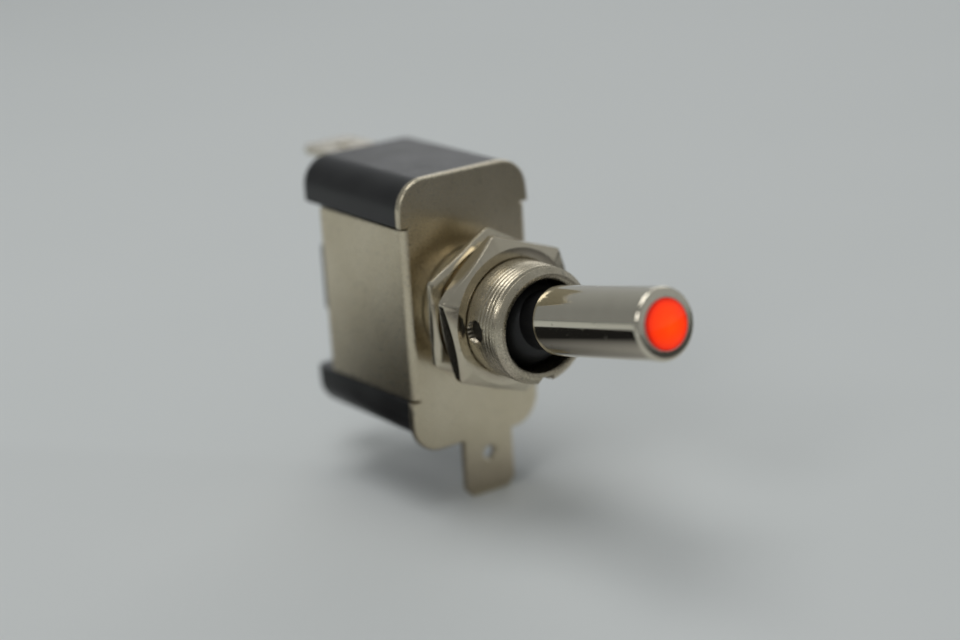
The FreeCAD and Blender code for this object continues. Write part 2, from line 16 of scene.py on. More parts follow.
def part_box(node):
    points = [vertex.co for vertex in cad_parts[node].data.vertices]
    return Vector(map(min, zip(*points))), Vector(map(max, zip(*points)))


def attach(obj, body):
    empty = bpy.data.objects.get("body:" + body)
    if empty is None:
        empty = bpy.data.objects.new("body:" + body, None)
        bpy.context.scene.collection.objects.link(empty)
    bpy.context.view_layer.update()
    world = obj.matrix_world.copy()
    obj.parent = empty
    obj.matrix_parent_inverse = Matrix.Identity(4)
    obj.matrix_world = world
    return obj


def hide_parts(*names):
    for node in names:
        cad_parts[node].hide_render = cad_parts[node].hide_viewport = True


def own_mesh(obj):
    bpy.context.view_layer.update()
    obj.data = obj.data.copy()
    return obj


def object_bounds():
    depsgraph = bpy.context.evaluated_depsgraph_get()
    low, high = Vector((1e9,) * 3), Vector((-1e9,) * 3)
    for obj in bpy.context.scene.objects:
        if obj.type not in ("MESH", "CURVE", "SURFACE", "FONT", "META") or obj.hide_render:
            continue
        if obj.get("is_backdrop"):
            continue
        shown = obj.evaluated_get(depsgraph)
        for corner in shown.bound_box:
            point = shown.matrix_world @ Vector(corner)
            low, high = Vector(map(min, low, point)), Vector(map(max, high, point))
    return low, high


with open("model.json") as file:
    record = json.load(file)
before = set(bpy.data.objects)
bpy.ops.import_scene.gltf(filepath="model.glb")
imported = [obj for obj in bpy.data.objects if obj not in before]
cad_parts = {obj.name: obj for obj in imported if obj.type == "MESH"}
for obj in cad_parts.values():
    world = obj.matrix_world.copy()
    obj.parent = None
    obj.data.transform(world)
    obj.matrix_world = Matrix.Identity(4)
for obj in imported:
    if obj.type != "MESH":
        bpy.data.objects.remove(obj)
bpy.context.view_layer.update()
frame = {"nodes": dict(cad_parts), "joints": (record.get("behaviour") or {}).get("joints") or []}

MM = 0.001
JOINTS = {joint["name"]: joint for joint in frame["joints"]}
PIVOT = Vector(JOINTS["lever_toggle"]["pos_m"])
LEVER_AXIS = Vector(JOINTS["plunger_slide"]["axis"])

SHARP = 35                  # degrees between two faces, above which their edge stays sharp
FINE_SHARP = 50             # the same, on the thread and the spring
FLAT = 0.6                  # degrees, below which neighbouring CAD faces are merged
BEVEL_FROM = 30             # degrees, above which an edge is rounded
WIDE_BEVEL_FROM = 0.5       # the same in radians, for the edges that are rounded more
BEVEL_STEPS = 3
WIDE_BEVEL_STEPS = 5
MERGE = 1e-8                # metres, within which new vertices are one
CAD_MERGE = 1e-7            # the same, in a copy of a CAD mesh
ARC_SHARE = 0.45            # most of a side that the rounding of one corner may use
STRAIGHT = 179              # degrees, above which a corner of an outline isn't rounded
ON_AXIS = 1e-9              # millimetres from the axis, within which a point is on it


# ---- mesh helpers -------------------------------------------------------------------------

def axis_frame(origin, axis):
    """Matrix from millimetres in a turned part's own frame to metres in the row frame."""
    out = Vector(axis).normalized()
    side = Vector((1, 0, 0))
    up = out.cross(side)
    turn = Matrix((side, up, out)).transposed().to_4x4()
    return Matrix.Translation(origin) @ turn @ Matrix.Scale(MM, 4)


BUSHING_FRAME = axis_frame((0, 0, 0), (0, -1, 0))
LEVER_FRAME = axis_frame(PIVOT, LEVER_AXIS)


def rounded(corners, steps=4):
    """Closed outline from (x, y, radius) corners, each turned into an arc of that radius."""
    points = []
    for i, (x, y, radius) in enumerate(corners):
        here = Vector((x, y))
        back = Vector(corners[i - 1][:2]) - here
        ahead = Vector(corners[(i + 1) % len(corners)][:2]) - here
        opening = back.angle(ahead)
        if radius <= 0 or opening > math.radians(STRAIGHT):
            points.append(here)
            continue
        half = math.tan(opening / 2)
        setback = min(radius / half, ARC_SHARE * back.length, ARC_SHARE * ahead.length)
        back, ahead = back.normalized(), ahead.normalized()
        centre = here + (back + ahead).normalized() * setback / math.cos(opening / 2)
        arm = here + back * setback - centre
        sweep = math.copysign(math.pi - opening, arm.x * ahead.y - arm.y * ahead.x)
        for k in range(steps + 1):
            points.append(centre + Matrix.Rotation(sweep * k / steps, 2) @ arm)
    return [(p.x, p.y) for p in points]


def arc(centre, radius, start, end, steps):
    """(radius, height) points on a circle centred on the axis, from one angle to another."""
    angles = [math.radians(start + (end - start) * k / steps) for k in range(steps + 1)]
    return [(radius * math.cos(a), centre + radius * math.sin(a)) for a in angles]


def finish_mesh(mesh, name, sharp=SHARP):
    """Object from a bmesh, smooth except at edges sharper than the angle given."""
    bmesh.ops.remove_doubles(mesh, verts=mesh.verts, dist=MERGE)
    bmesh.ops.recalc_face_normals(mesh, faces=mesh.faces)
    data = bpy.data.meshes.new(name)
    mesh.to_mesh(data)
    mesh.free()
    piece = bpy.data.objects.new(name, data)
    bpy.context.scene.collection.objects.link(piece)
    shade(piece, sharp)
    return piece


def shade(piece, sharp=SHARP):
    """Smooth shading that keeps flat faces flat."""
    piece.data.shade_smooth()
    piece.data.set_sharp_from_angle(angle=math.radians(sharp))
    weighted = piece.modifiers.new("weighted", "WEIGHTED_NORMAL")
    weighted.keep_sharp = True
    apply_modifiers(piece)


def apply_modifiers(piece):
    """Replace the piece's mesh by its modified one."""
    graph = bpy.context.evaluated_depsgraph_get()
    data = bpy.data.meshes.new_from_object(piece.evaluated_get(graph), depsgraph=graph)
    piece.modifiers.clear()
    piece.data = data


def even_angles(count):
    """Angles in radians that divide a turn evenly."""
    return [2 * math.pi * k / count for k in range(count)]


def turned(name, outline_at, place, angles, sharp=SHARP):
    """Mesh swept round the local Z axis. outline_at(angle) gives the closed (radius, height)
    outline at that angle, always with the same number of points."""
    mesh = bmesh.new()
    rings = []
    for angle in angles:
        c, s = math.cos(angle), math.sin(angle)
        rings.append([(mesh.verts.new(place @ Vector((r * c, r * s, h))), r)
                      for r, h in outline_at(angle)])
    for ring, following in zip(rings, rings[1:] + rings[:1]):
        for i in range(len(ring)):
            (a, ra), (b, rb) = ring[i - 1], ring[i]
            (c, _), (d, _) = following[i], following[i - 1]
            if max(ra, rb) > ON_AXIS:
                mesh.faces.new((a, b, c, d))
    return finish_mesh(mesh, name, sharp)


def lathe(name, outline, place, steps=128):
    """Turned mesh whose closed (radius, height) outline is the same all the way round."""
    return turned(name, lambda angle: outline, place, even_angles(steps))


def cut_holes(piece, cutters, sharp=SHARP):
    """Take the cutters' volumes out of the piece, and remove the cutters."""
    for cutter in cutters:
        boolean = piece.modifiers.new("cut", "BOOLEAN")
        boolean.operation = "DIFFERENCE"
        boolean.solver = "EXACT"
        boolean.object = cutter
    apply_modifiers(piece)
    for cutter in cutters:
        bpy.data.objects.remove(cutter)
    shade(piece, sharp)


def cross_rod(radius, x0, x1, place):
    """Cutter along X through the origin of a frame, in millimetres."""
    turn = place @ Matrix.Rotation(math.radians(90), 4, "Y")
    outline = [(0, x0), (radius, x0), (radius, x1), (0, x1)]
    return lathe("cutter", outline, turn, 64)


def add_bevel(piece, width, segments, **limits):
    """Round edges of a piece over a width in millimetres."""
    bevel = piece.modifiers.new("edges", "BEVEL")
    bevel.width = width * MM
    bevel.segments = segments
    bevel.use_clamp_overlap = False
    bevel.miter_outer = "MITER_ARC"
    for key, value in limits.items():
        setattr(bevel, key, value)
    apply_modifiers(piece)


def softened(node, name, width, wide=None, wide_width=0.0):
    """Copy of a CAD node with its flat faces merged and its sharp edges rounded. wide(edge)
    picks the edges that are rounded more."""
    mesh = bmesh.new()
    mesh.from_mesh(frame["nodes"][node].data)
    bmesh.ops.remove_doubles(mesh, verts=mesh.verts, dist=CAD_MERGE)
    bmesh.ops.dissolve_limit(mesh, angle_limit=math.radians(FLAT), verts=mesh.verts,
                             edges=mesh.edges)
    if wide:
        weight = mesh.edges.layers.float.new("bevel_weight_edge")
        for edge in mesh.edges:
            edge[weight] = float(edge.calc_face_angle(0) > WIDE_BEVEL_FROM and wide(edge))
    data = bpy.data.meshes.new(name)
    mesh.to_mesh(data)
    mesh.free()
    piece = bpy.data.objects.new(name, data)
    bpy.context.scene.collection.objects.link(piece)
    if wide:
        add_bevel(piece, wide_width, WIDE_BEVEL_STEPS, limit_method="WEIGHT")
    add_bevel(piece, width, BEVEL_STEPS, limit_method="ANGLE",
              angle_limit=math.radians(BEVEL_FROM))
    shade(piece)
    return piece


def place_piece(piece, body, node, material):
    """The piece stands for a CAD node, rides on its body and gets its material."""
    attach(piece, body)
    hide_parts(node)
    piece.data.materials.clear()
    piece.data.materials.append(material)


# ---- material helpers ---------------------------------------------------------------------

class Shader:
    """A material's node tree, with short calls for the nodes used here."""

    def __init__(self, name):
        self.material = bpy.data.materials.new(name)
        self.material.use_nodes = True
        self.tree = self.material.node_tree
        self.surface = self.tree.nodes["Principled BSDF"]
        self.place = self.node("ShaderNodeTexCoord").outputs["Object"]

    def node(self, kind, **values):
        """New node with these settings."""
        made = self.tree.nodes.new(kind)
        for key, value in values.items():
            setattr(made, key, value)
        return made

    def link(self, source, target):
        """Join an output to an input."""
        self.tree.links.new(source, target)

    def feed(self, target, value):
        """Join an input to a socket, or give it a plain value."""
        if hasattr(value, "node"):
            self.link(value, target)
        else:
            target.default_value = value

    def noise(self, size, detail=3.0, rough=0.55, stretch=(1, 1, 1)):
        """Noise whose grains are about this many millimetres across."""
        mapping = self.node("ShaderNodeMapping")
        self.link(self.place, mapping.inputs["Vector"])
        mapping.inputs["Scale"].default_value = stretch
        made = self.node("ShaderNodeTexNoise")
        self.link(mapping.outputs["Vector"], made.inputs["Vector"])
        made.inputs["Scale"].default_value = 1 / (size * MM)
        made.inputs["Detail"].default_value = detail
        made.inputs["Roughness"].default_value = rough
        return made.outputs["Fac"]

    def ramp(self, value, low, high, to_low=0.0, to_high=1.0):
        """Carry a value from one range to another, and hold it there beyond the ends."""
        made = self.node("ShaderNodeMapRange")
        self.feed(made.inputs["Value"], value)
        made.inputs["From Min"].default_value = low
        made.inputs["From Max"].default_value = high
        made.inputs["To Min"].default_value = to_low
        made.inputs["To Max"].default_value = to_high
        return made.outputs["Result"]

    def mix(self, share, first, second):
        """Colour between two, the second where the share is 1."""
        made = self.node("ShaderNodeMix", data_type="RGBA")
        self.feed(made.inputs["Factor"], share)
        self.feed(made.inputs["A"], first)
        self.feed(made.inputs["B"], second)
        return made.outputs["Result"]

    def maths(self, operation, first, second):
        """Arithmetic on two values."""
        made = self.node("ShaderNodeMath", operation=operation)
        self.feed(made.inputs[0], first)
        self.feed(made.inputs[1], second)
        return made.outputs[0]

    def bump(self, height, depth, normal=None):
        """Bump of this depth, in millimetres, from a 0 to 1 height."""
        made = self.node("ShaderNodeBump")
        self.feed(made.inputs["Height"], height)
        made.inputs["Distance"].default_value = depth * MM
        if normal:
            self.link(normal, made.inputs["Normal"])
        return made.outputs["Normal"]

    def set(self, **values):
        """Feed the surface's inputs, named with underscores for spaces."""
        for key, value in values.items():
            self.feed(self.surface.inputs[key.replace("_", " ")], value)


def grey(value, warm=0.0):
    """Colour of this brightness, warmed by taking some blue and a little green out."""
    return (value, value * (1 - 0.33 * warm), value * (1 - warm), 1)


SPECK_COLOUR = grey(0.2, 0.1)
GRAIN_COLOUR = grey(0.1, 0.3)


def plated(name, light, dark, roughness, grain, grain_depth, speck, matt=0.0):
    """Plated metal: a slow drift between two tones, grain in roughness and relief, and specks.
    grain is its size and grain_depth its relief, in millimetres. matt is how far the grain
    also darkens the colour."""
    sh = Shader(name)
    drift = sh.noise(6.0, detail=4)
    fine = sh.noise(grain, detail=5, rough=0.65)
    colour = sh.mix(sh.ramp(drift, 0.3, 0.7), dark, light)
    specks = sh.ramp(sh.noise(grain * 2.2, detail=2), 0.62, 0.72)
    colour = sh.mix(sh.maths("MULTIPLY", specks, speck), colour, SPECK_COLOUR)
    colour = sh.mix(sh.ramp(fine, 0.4, 0.62, 0.0, matt), colour, GRAIN_COLOUR)
    low, high = roughness
    sh.set(Base_Color=colour, Metallic=1.0, Roughness=sh.ramp(fine, 0.3, 0.7, low, high),
           Normal=sh.bump(fine, grain_depth))
    return sh.material


def moulded(name, colour, lighter, roughness, grain, grain_depth):
    """Moulded plastic: fine texture and cloudy patches of gloss. grain is the texture's size
    and grain_depth its relief, in millimetres."""
    sh = Shader(name)
    cloud = sh.noise(4.0, detail=3)
    fine = sh.noise(grain, detail=4)
    low, high = roughness
    patches = sh.maths("ADD", sh.maths("MULTIPLY", cloud, 0.6), sh.maths("MULTIPLY", fine, 0.4))
    sh.set(Base_Color=sh.mix(sh.ramp(cloud, 0.35, 0.7), colour, lighter),
           Roughness=sh.ramp(patches, 0.35, 0.65, low, high), Normal=sh.bump(fine, grain_depth))
    return sh.material


CHROME_TONES = ((0.70, 0.65, 0.53, 1), (0.78, 0.73, 0.60, 1))
CHROME_ROUGHNESS = (0.05, 0.11)


def chrome(name):
    """Polished plating with a faint haze, hair scratches and a few pinholes."""
    sh = Shader(name)
    haze = sh.noise(2.5, detail=4)
    scratches = sh.noise(0.12, detail=2, stretch=(1, 0.05, 1))
    pits = sh.ramp(sh.noise(0.5, detail=1), 0.74, 0.8)
    relief = sh.bump(sh.noise(1.6, detail=2), 0.004)
    relief = sh.bump(scratches, 0.0004, relief)
    relief = sh.bump(sh.maths("SUBTRACT", 1.0, pits), 0.02, relief)
    sh.set(Base_Color=sh.mix(haze, *CHROME_TONES), Metallic=1.0,
           Roughness=sh.ramp(haze, 0.3, 0.7, *CHROME_ROUGHNESS), Normal=relief)
    return sh.material


LENS_COLOUR = (0.25, 0.008, 0.003, 1)
# The lens's glow: distance from its middle as a share of its radius, and colour. It fades towards
# the rim as the light spreads, and its last, darkest stop is painted shade in the thin gap between
# the lens and the sleeve.
LENS_GLOW_AND_RIM_SHADE = [(0.0, (1.0, 0.072, 0.002, 1)), (0.75, (0.96, 0.042, 0.003, 1)),
             (0.94, (0.74, 0.020, 0.004, 1)), (1.0, (0.30, 0.008, 0.004, 1))]


def lit_lens(name):
    """Red lens lit from behind: brightest round its middle, deep red at its rim, whose darkest
    edge is painted shade from the sleeve.
    """
    sh = Shader(name)
    offset = sh.node("ShaderNodeVectorMath", operation="SUBTRACT")
    sh.link(sh.place, offset.inputs[0])
    offset.inputs[1].default_value = LEVER_FRAME @ Vector((0, 0, LENS_APEX))
    reach = sh.node("ShaderNodeVectorMath", operation="LENGTH")
    sh.link(offset.outputs["Vector"], reach.inputs[0])
    rim = sh.ramp(reach.outputs["Value"], 0.0, LENS_R * MM)
    rim_shaded_glow = sh.node("ShaderNodeValToRGB")
    sh.link(rim, rim_shaded_glow.inputs["Fac"])
    stops = rim_shaded_glow.color_ramp.elements
    stops[0].position, stops[0].color = LENS_GLOW_AND_RIM_SHADE[0]
    stops[1].position, stops[1].color = LENS_GLOW_AND_RIM_SHADE[-1]
    for share, colour in LENS_GLOW_AND_RIM_SHADE[1:-1]:
        stops.new(share).color = colour
    cloudy = sh.ramp(sh.noise(0.8, detail=2), 0.3, 0.7, 0.9, 1.05)
    sh.set(Base_Color=LENS_COLOUR, Roughness=sh.ramp(sh.noise(0.6), 0.3, 0.7, 0.08, 0.16),
           Specular_IOR_Level=0.3,
           Emission_Color=rim_shaded_glow.outputs["Color"], Emission_Strength=cloudy)
    return sh.material


# ---- shapes -------------------------------------------------------------------------------
# Dimensions are in millimetres. Distances along the bushing start at the plate's front, and
# distances along the lever start at its pivot.

def bushing_span(node):
    """How far in front of the plate a node starts and ends."""
    low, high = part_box(node)
    return -high.y / MM, -low.y / MM


def lever_span(node):
    """How far along the lever a node starts and ends."""
    reach = [(v.co - PIVOT).dot(LEVER_AXIS) / MM for v in frame["nodes"][node].data.vertices]
    return min(reach), max(reach)


FLANGE_BACK, BUSHING_END = bushing_span("threaded_bushing")
NUT_SPANS = [bushing_span("rear_nut"), bushing_span("front_nut")]
NUT_TURNS = [-30.0, -19.5]  # degrees
SLEEVE_START, SLEEVE_END = lever_span("lever_sleeve")
LENS_START, LENS_APEX = lever_span("led_lens")
CORE_BACK, CORE_FRONT = lever_span("lever_core")
SPRING_BACK, SPRING_FRONT = lever_span("plunger_spring")

THREAD_R = 6.0
THREAD_PITCH = 0.5
THREAD_SEAT = 0.2           # how far inside that radius the wall is under the nuts
THREAD_EASE = 0.02          # and elsewhere
THREAD_ROWS = 188
THREAD_FROM = (0.3, 0.5)    # the grooves start here, and fade in over this length
DEEPER_FROM = (9.0, 1.5)    # they deepen from here, over this length
GROOVE_DEPTH = 0.015
GROOVE_DEEPER = 0.09        # what is added at the front
GROOVE_HALF_W = 0.3         # as a share of the pitch
SEAT_PLAY = 0.05            # how far the seats under the nuts go past them
BUSHING_BORE_R = 4.75
FLANGE_R = 7.3
FLANGE_HALF_W = 5.9         # its two flats
FLANGE_FRONT = -0.82
KEYWAY_HALF_W = 0.9
KEYWAY_FLOOR = 5.15
PIN_R = 1.25
# The bushing's front end: radius, distance behind the end, and rounding.
NOSE = [(5.45, 0.99, 0.04), (5.45, 0.66, 0.04), (5.96, 0.62, 0.04), (5.92, 0.50, 0.10),
        (5.36, 0.0, 0.12), (4.98, 0.0, 0.08), (BUSHING_BORE_R, 0.22, 0.10)]
THREAD_END = BUSHING_END - 1.02

NUT_AF = 15.0               # across the flats
NUT_FACE_R = NUT_AF / 2 - 0.45
NUT_BORE_R = 5.86
NUT_MOUTH_R = NUT_BORE_R + 0.24
NUT_COUNTERSINK = 0.25
NUT_CHAMFER = math.radians(25)
NUT_CHAMFER_SHARE = 0.3     # most of the nut's height that a chamfer may take
NUT_CORNER_CUT = 0.10       # how far the sharp corners are brought in
NUT_CORNER_SOFT = 0.03      # how gently a flat turns into a corner

SLEEVE_R = 3.48
SLEEVE_BORE_R = 2.95
SLEEVE_TIP_ROUND = 0.98
SLEEVE_FOOT_ROUND = 0.45
LENS_R = 2.45
LENS_RISE = 0.45
LENS_PLAY = 0.02            # between the lens and the sleeve round it
LENS_LEDGE = 0.1            # between the lens and the ledge behind it
LIGHT_R = 1.6
LIGHT_DOME_BACK = 0.7       # from the lens's back to the middle of the light's round end
LIGHT_DOME_EDGE = 26        # degrees at which that round end meets the lens's back
LIGHT_FIT = 0.05            # how tightly the light sits in the core
LIGHT_SEAT_END = 16.5
LEADS_R = 1.0
LEADS_END = -6.8
BALL_R = 4.6
STEM_R = 2.9
TAIL_R = 2.3
PLUNGER_HOLE_R = 1.35
PLUNGER_HOLE_END = -8.5
PIN_PLAY = 0.05
PIN_SOCKET = (1.5, 6.0)     # the core's socket for a pivot pin, from its axis outwards
WING_TOP = 9.4              # the plate's outline is rounded more beyond this, up and down
AT_PLATE = 0.01             # within which a point is level with the plate's front


def plan_angles(count, extra):
    """Even angles and a few extra ones, in degrees, for walls that run along the axis."""
    angles = even_angles(count) + [math.radians(a) % (2 * math.pi) for a in extra]
    return sorted(set(round(a, 6) for a in angles))


def rise(w, start, length):
    """0 up to a start, then rising to 1 over a length."""
    return min(1.0, max(0.0, w - start) / length)


def thread_radius(angle, w):
    """Radius of the threaded wall at an angle and a distance in front of the plate. The grooves
    are nearly filled by the plating, least so at the front."""
    turns = (w / THREAD_PITCH + angle / (2 * math.pi)) % 1
    groove = max(0.0, 1 - abs(turns - 0.5) / GROOVE_HALF_W)
    depth = (GROOVE_DEPTH + GROOVE_DEEPER * rise(w, *DEEPER_FROM)) * rise(w, *THREAD_FROM)
    under_nut = any(start - SEAT_PLAY < w < end + SEAT_PLAY for start, end in NUT_SPANS)
    return THREAD_R - (THREAD_SEAT if under_nut else THREAD_EASE) - depth * groove


def bushing_outline(angle):
    """The bushing's closed outline at an angle, with its keyway and the flange's two flats."""
    flange = min(FLANGE_R, FLANGE_HALF_W / max(abs(math.cos(angle)), 0.01))
    heights = [THREAD_END * k / THREAD_ROWS for k in range(THREAD_ROWS + 1)]
    wall = [(thread_radius(angle, w), w) for w in heights]
    nose = rounded([(r, BUSHING_END - behind, soft) for r, behind, soft in NOSE]
                   + [(BUSHING_BORE_R, 0.0, 0.0)])[:-1]
    behind_plate = [(BUSHING_BORE_R, FLANGE_BACK), (flange, FLANGE_BACK), (flange, FLANGE_FRONT),
                    (THREAD_R - THREAD_EASE, FLANGE_FRONT)]
    points = wall + nose + behind_plate
    down = -math.sin(angle)
    if down > 0.9 and abs(math.cos(angle)) * THREAD_R < KEYWAY_HALF_W:
        floor = KEYWAY_FLOOR / down
        points = [(min(r, floor), h) if h > -AT_PLATE else (r, h) for r, h in points]
    return points


def make_bushing():
    """The bushing, with its thread, keyway and flange, and the cross hole for the pivot pins."""
    keyway_edge = math.degrees(math.asin(KEYWAY_HALF_W / THREAD_R))
    beside = [-90 + side * (keyway_edge + step) for side in (-1, 1) for step in (-0.05, 0.25)]
    angles = plan_angles(240, beside)
    piece = turned("bushing_turned", bushing_outline, BUSHING_FRAME, angles, FINE_SHARP)
    at_pin = axis_frame(PIVOT, (0, -1, 0))
    cut_holes(piece, [cross_rod(PIN_R, -FLANGE_R, FLANGE_R, at_pin)], FINE_SHARP)
    return piece


def hex_radius(angle, turn):
    """Distance from a nut's axis to its side, with the corners slightly rounded."""
    sixth = math.radians(60)
    from_corner = (angle - math.radians(turn)) % sixth
    flat = NUT_AF / 2 / math.cos(from_corner - sixth / 2)
    limit = NUT_AF / math.sqrt(3) - NUT_CORNER_CUT
    soft = NUT_CORNER_SOFT
    return -soft * math.log(math.exp(-flat / soft) + math.exp(-limit / soft))


def nut_outline(angle, turn, back, front):
    """A nut's closed outline at an angle: flat faces, chamfered corners and a countersunk bore."""
    outer = hex_radius(angle, turn)
    drop = min((outer - NUT_FACE_R) * math.tan(NUT_CHAMFER),
               NUT_CHAMFER_SHARE * (front - back))
    return rounded([(NUT_BORE_R, back + NUT_COUNTERSINK, 0.05), (NUT_MOUTH_R, back, 0.05),
                    (NUT_FACE_R, back, 0.12), (outer, back + drop, 0.07),
                    (outer, front - drop, 0.07), (NUT_FACE_R, front, 0.12),
                    (NUT_MOUTH_R, front, 0.05), (NUT_BORE_R, front - NUT_COUNTERSINK, 0.05)], 3)


def make_nut(name, turn, span):
    """A thin hex nut, turned by an angle in degrees about the bushing."""
    corners = [turn + 60 * k + step for k in range(6) for step in (-0.4, 0, 0.4)]
    return turned(name, lambda angle: nut_outline(angle, turn, *span), BUSHING_FRAME,
                  plan_angles(360, corners))


def make_sleeve():
    """Tube with a full round at its tip, a small one at its foot, and a seat for the lens."""
    seat_r, ledge = LENS_R + LENS_PLAY, LENS_START - LENS_LEDGE
    outline = rounded([(SLEEVE_R, SLEEVE_START, SLEEVE_FOOT_ROUND),
                       (SLEEVE_R, SLEEVE_END, SLEEVE_TIP_ROUND), (seat_r, SLEEVE_END, 0.02),
                       (seat_r, ledge, 0.0), (SLEEVE_BORE_R, ledge, 0.0),
                       (SLEEVE_BORE_R, SLEEVE_START, 0.1)], 10)
    return lathe("sleeve_tube", outline, LEVER_FRAME, 160)


def make_lens():
    """Shallow dome in front, and a hollow behind that fits over the light."""
    dome_r = (LENS_R ** 2 + LENS_RISE ** 2) / (2 * LENS_RISE)
    half = math.degrees(math.asin(LENS_R / dome_r))
    dome = arc(LENS_APEX - dome_r, dome_r, 90 - half, 90, 16)
    dome[-1] = (0.0, LENS_APEX)
    hollow_middle = LENS_START - LIGHT_DOME_BACK
    hollow = arc(hollow_middle, LIGHT_R, 90, LIGHT_DOME_EDGE, 10)
    hollow[0] = (0.0, hollow_middle + LIGHT_R)
    outline = dome + hollow + [(hollow[-1][0], LENS_START), (LENS_R, LENS_START)]
    return lathe("lens_dome", outline, LEVER_FRAME)


def make_core():
    """Stem, ball and tail in one moulding, bored for the light, its leads and the plunger."""
    low = -math.degrees(math.acos(TAIL_R / BALL_R))
    high = math.degrees(math.acos(STEM_R / BALL_R))
    outside = [(TAIL_R, CORE_BACK)] + arc(0.0, BALL_R, low, high, 48) + [(STEM_R, CORE_FRONT)]
    light_seat = [(LIGHT_R - LIGHT_FIT, CORE_FRONT), (LIGHT_R - LIGHT_FIT, LIGHT_SEAT_END)]
    lead_channel = [(LEADS_R, LIGHT_SEAT_END), (LEADS_R, LEADS_END), (0.0, LEADS_END)]
    plunger_hole = [(0.0, PLUNGER_HOLE_END), (PLUNGER_HOLE_R, PLUNGER_HOLE_END),
                    (PLUNGER_HOLE_R, CORE_BACK)]
    outline = outside + light_seat + lead_channel + plunger_hole
    piece = lathe("core_moulding", outline, LEVER_FRAME)
    inner, outer = PIN_SOCKET
    cut_holes(piece, [cross_rod(PIN_R + PIN_PLAY, side * inner, side * outer, LEVER_FRAME)
                      for side in (-1, 1)])
    return piece


def make_spring():
    """Coil spring between the stem's inner end and the plunger's tail."""
    coils, steps, sides = 6, 40, 14
    mean, wire = 0.9, 0.17
    first, last = SPRING_FRONT - wire, SPRING_BACK + wire
    mesh = bmesh.new()
    rings = []
    for k in range(coils * steps + 1):
        angle = 2 * math.pi * k / steps
        height = first + (last - first) * k / (coils * steps)
        ring = []
        for t in even_angles(sides):
            r = mean + wire * math.cos(t)
            point = Vector((r * math.cos(angle), r * math.sin(angle), height + wire * math.sin(t)))
            ring.append(mesh.verts.new(LEVER_FRAME @ point))
        rings.append(ring)
    for ring, following in zip(rings, rings[1:]):
        for i in range(sides):
            mesh.faces.new((ring[i - 1], ring[i], following[i], following[i - 1]))
    mesh.faces.new(rings[0])
    mesh.faces.new(rings[-1])
    return finish_mesh(mesh, "spring_coil", FINE_SHARP)


def plate_front_outline(edge):
    """Whether an edge lies on the outline of the plate's front face, beyond the wings."""
    return all(abs(v.co.y) < AT_PLATE * MM and abs(v.co.z) > WING_TOP * MM
               for v in edge.verts)


# ---- the switch ---------------------------------------------------------------------------

# Two tones, roughness, size and relief of the grain, and for metals the strength of the specks.
FRAME_METAL = plated("frame_nickel", grey(0.72, 0.32), grey(0.64, 0.36),
                     (0.24, 0.33), 0.22, 0.002, 0.4)
BUSHING_METAL = plated("bushing_nickel", grey(0.72, 0.28), grey(0.54, 0.34),
                       (0.20, 0.40), 0.22, 0.010, 0.6, matt=0.28)
NUT_METAL = plated("nut_nickel", grey(0.68, 0.28), grey(0.60, 0.32),
                   (0.12, 0.24), 0.30, 0.004, 0.3)
TERMINAL_METAL = plated("terminal_tin", grey(0.72, 0.22), grey(0.62, 0.26),
                        (0.20, 0.34), 0.25, 0.005, 0.4)
BRASS = plated("brass", (0.76, 0.56, 0.25, 1), (0.66, 0.46, 0.20, 1),
               (0.18, 0.30), 0.3, 0.004, 0.4)
SILVER = plated("contact_silver", grey(0.84, 0.05), grey(0.70, 0.08),
                (0.16, 0.30), 0.2, 0.004, 0.5)
STEEL = plated("steel", grey(0.46, 0.06), grey(0.38, 0.06),
               (0.20, 0.32), 0.3, 0.003, 0.3)
# Very dark steel for the pivot pins, so that their ends look dark in the cross hole.
DARK_PIN_STEEL = plated("dark_pin_steel", grey(0.06, 0.1), grey(0.03, 0.1),
                     (0.30, 0.45), 0.2, 0.004, 0.3)
BODY_PLASTIC = moulded("body_black", grey(0.009), grey(0.016), (0.30, 0.42), 0.25, 0.006)
CORE_PLASTIC = moulded("core_black", grey(0.004), grey(0.007), (0.42, 0.55), 0.3, 0.002)
PALE_PLASTIC = moulded("acetal", (0.80, 0.78, 0.72, 1), (0.86, 0.84, 0.79, 1),
                       (0.3, 0.42), 0.3, 0.003)
RESISTOR_PAINT = moulded("resistor_lacquer", (0.62, 0.47, 0.28, 1), (0.72, 0.58, 0.38, 1),
                         (0.25, 0.4), 0.3, 0.01)
INSULATION = moulded("insulation", (0.30, 0.02, 0.02, 1), (0.42, 0.03, 0.03, 1),
                     (0.3, 0.45), 0.2, 0.01)
LED_EPOXY = moulded("led_epoxy", (0.7, 0.05, 0.04, 1), (0.85, 0.10, 0.07, 1),
                    (0.08, 0.15), 0.5, 0.001)
CHROME = chrome("sleeve_chrome")
LENS = lit_lens("lens_lit")

NODE_MATERIALS = {
    "fixed_contact": SILVER, "moving_contact": SILVER,
    "rocker_saddle": BRASS, "rocker_contact": BRASS,
    "led_body": LED_EPOXY, "led_leads": INSULATION,
    "resistor_wires": INSULATION, "ground_wire": INSULATION,
    "left_pivot_pin": DARK_PIN_STEEL, "right_pivot_pin": DARK_PIN_STEEL,
    "plunger": PALE_PLASTIC, "series_resistor": RESISTOR_PAINT,
}


def build_body():
    """The frame, housing, bushing and terminals."""
    sheet = softened("mounting_frame", "frame_sheet", 0.10, plate_front_outline, 0.22)
    place_piece(sheet, "switch_body", "mounting_frame", FRAME_METAL)
    cup = softened("housing", "housing_cup", 0.20)
    place_piece(cup, "switch_body", "housing", BODY_PLASTIC)
    place_piece(make_bushing(), "switch_body", "threaded_bushing", BUSHING_METAL)
    for side in ("load", "power"):
        blade = softened(side + "_terminal", side + "_blade", 0.08)
        place_piece(blade, "switch_body", side + "_terminal", TERMINAL_METAL)
        rivet = softened(side + "_rivet", side + "_rivet_formed", 0.05)
        place_piece(rivet, "switch_body", side + "_rivet", BRASS)


